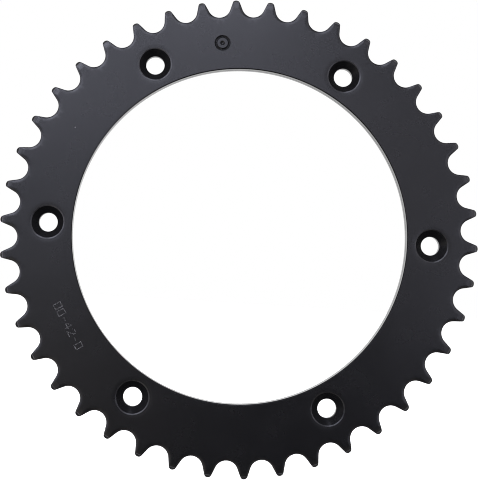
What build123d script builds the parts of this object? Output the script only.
from build123d import *
from math import cos, pi, radians, sin, tan
import os

os.makedirs("parts", exist_ok=True)

# Rear sprocket: one flat steel ring, upright, with its spin axis along Y.
# The origin is the centre of the bore at mid-thickness.
# The countersunk outer face looks along -Y and the hub seat face looks along +Y.

# ---- chain and tooth count
tooth_count = 42
chain_pitch = 15.875
roller_diameter = 10.16

# ---- plate
plate_thickness = 6.0
bore_diameter = 152.5
bore_edge_break = 0.4

# ---- tooth form: round seat, straight flanks, full-round nose
outside_diameter = 218.4
root_undercut = 0.25
seat_radius = 5.35
seat_half_angle = 66.2

# ---- bevel turned on both sides of the blank, so it only cuts the tooth tips:
# a shallow relief first, then a steep chamfer down to the narrow tip land
bevel_start_diameter = 210.4
bevel_depth = 0.43
tip_chamfer_start_diameter = 215.8
tip_chamfer_angle = 50.0

# ---- rolled edge that blanking leaves round the toothed outline of the outer face
rolled_edge_radius = 0.6

# ---- bolts to the hub
bolt_circle_diameter = 175.0
bolt_count = 6
bolt_hole_diameter = 8.5
countersink_diameter = 15.0
countersink_angle = 90.0

# ---- derived sizes
half_thickness = plate_thickness / 2
bore_radius = bore_diameter / 2
outside_radius = outside_diameter / 2
bevel_start_radius = bevel_start_diameter / 2
tip_chamfer_start_radius = tip_chamfer_start_diameter / 2
tip_chamfer_depth = (outside_radius - tip_chamfer_start_radius) * tan(radians(tip_chamfer_angle))
tip_relief = bevel_depth + tip_chamfer_depth
tooth_angle = 360 / tooth_count
half_tooth = pi / tooth_count
pitch_radius = chain_pitch / 2 / sin(half_tooth)
root_radius = pitch_radius - roller_diameter / 2 - root_undercut

# One gap is worked out about a radial line: "out" runs along it and "side" runs across it.
flank_angle = radians(seat_half_angle)
seat_centre = root_radius + seat_radius
flank_foot_out = seat_centre - seat_radius * cos(flank_angle)
flank_foot_side = seat_radius * sin(flank_angle)

# The nose is centred on the tooth's own centre line, touches the outside circle and both flanks.
nose_cosine = cos(flank_angle + half_tooth)
foot_offset = flank_foot_side * sin(flank_angle) - flank_foot_out * cos(flank_angle)
nose_radius = -(outside_radius * nose_cosine + foot_offset) / (1 - nose_cosine)
nose_centre_out = (outside_radius - nose_radius) * cos(half_tooth)
nose_centre_side = (outside_radius - nose_radius) * sin(half_tooth)
flank_head_out = nose_centre_out + nose_radius * cos(flank_angle)
flank_head_side = nose_centre_side - nose_radius * sin(flank_angle)


def place(out, side, angle):
    """A point given along and across the radial line that stands at this angle."""
    return Vector(out, side).rotate(Axis.Z, angle)


# The plate as blanked, before turning and drilling.
with BuildPart() as sprocket_plate:
    with BuildSketch(Plane.XZ):
        with BuildLine():
            for tooth in range(tooth_count):
                gap = (tooth + 0.5) * tooth_angle
                tip = (tooth + 1) * tooth_angle
                next_gap = gap + tooth_angle
                foot_before = place(flank_foot_out, -flank_foot_side, gap)
                foot_after = place(flank_foot_out, flank_foot_side, gap)
                head_before = place(flank_head_out, flank_head_side, gap)
                head_after = place(flank_head_out, -flank_head_side, next_gap)
                next_foot = place(flank_foot_out, -flank_foot_side, next_gap)
                ThreePointArc(foot_before, place(root_radius, 0, gap), foot_after)
                Line(foot_after, head_before)
                ThreePointArc(head_before, place(outside_radius, 0, tip), head_after)
                Line(head_after, next_foot)
        make_face()
        Circle(bore_radius, mode=Mode.SUBTRACT)
    extrude(amount=half_thickness, both=True)

    # Rolled edge round the outer face's toothed outline.
    outer_face = sprocket_plate.faces().sort_by(Axis.Y)[0]
    fillet(outer_face.outer_wire().edges(), radius=rolled_edge_radius)

    # Turned profile: bore edge breaks and tip bevels on both sides.
    with BuildSketch(Plane.XY):
        with BuildLine():
            Polyline(
                (bore_radius, -half_thickness + bore_edge_break),
                (bore_radius + bore_edge_break, -half_thickness),
                (bevel_start_radius, -half_thickness),
                (tip_chamfer_start_radius, -half_thickness + bevel_depth),
                (outside_radius, -half_thickness + tip_relief),
                (outside_radius + 1, -half_thickness + tip_relief),
                (outside_radius + 1, half_thickness - tip_relief),
                (outside_radius, half_thickness - tip_relief),
                (tip_chamfer_start_radius, half_thickness - bevel_depth),
                (bevel_start_radius, half_thickness),
                (bore_radius + bore_edge_break, half_thickness),
                (bore_radius, half_thickness - bore_edge_break),
                close=True,
            )
        make_face()
    revolve(axis=Axis.Y, mode=Mode.INTERSECT)

    # Countersunk bolt holes, one on the centre line of every seventh tooth.
    with Locations(Plane.XZ.offset(half_thickness)):
        with PolarLocations(bolt_circle_diameter / 2, bolt_count):
            CounterSinkHole(
                radius=bolt_hole_diameter / 2,
                counter_sink_radius=countersink_diameter / 2,
                counter_sink_angle=countersink_angle,
            )

sprocket_plate.part.label = "sprocket_plate"
export_step(sprocket_plate.part, "parts/sprocket_plate.step")
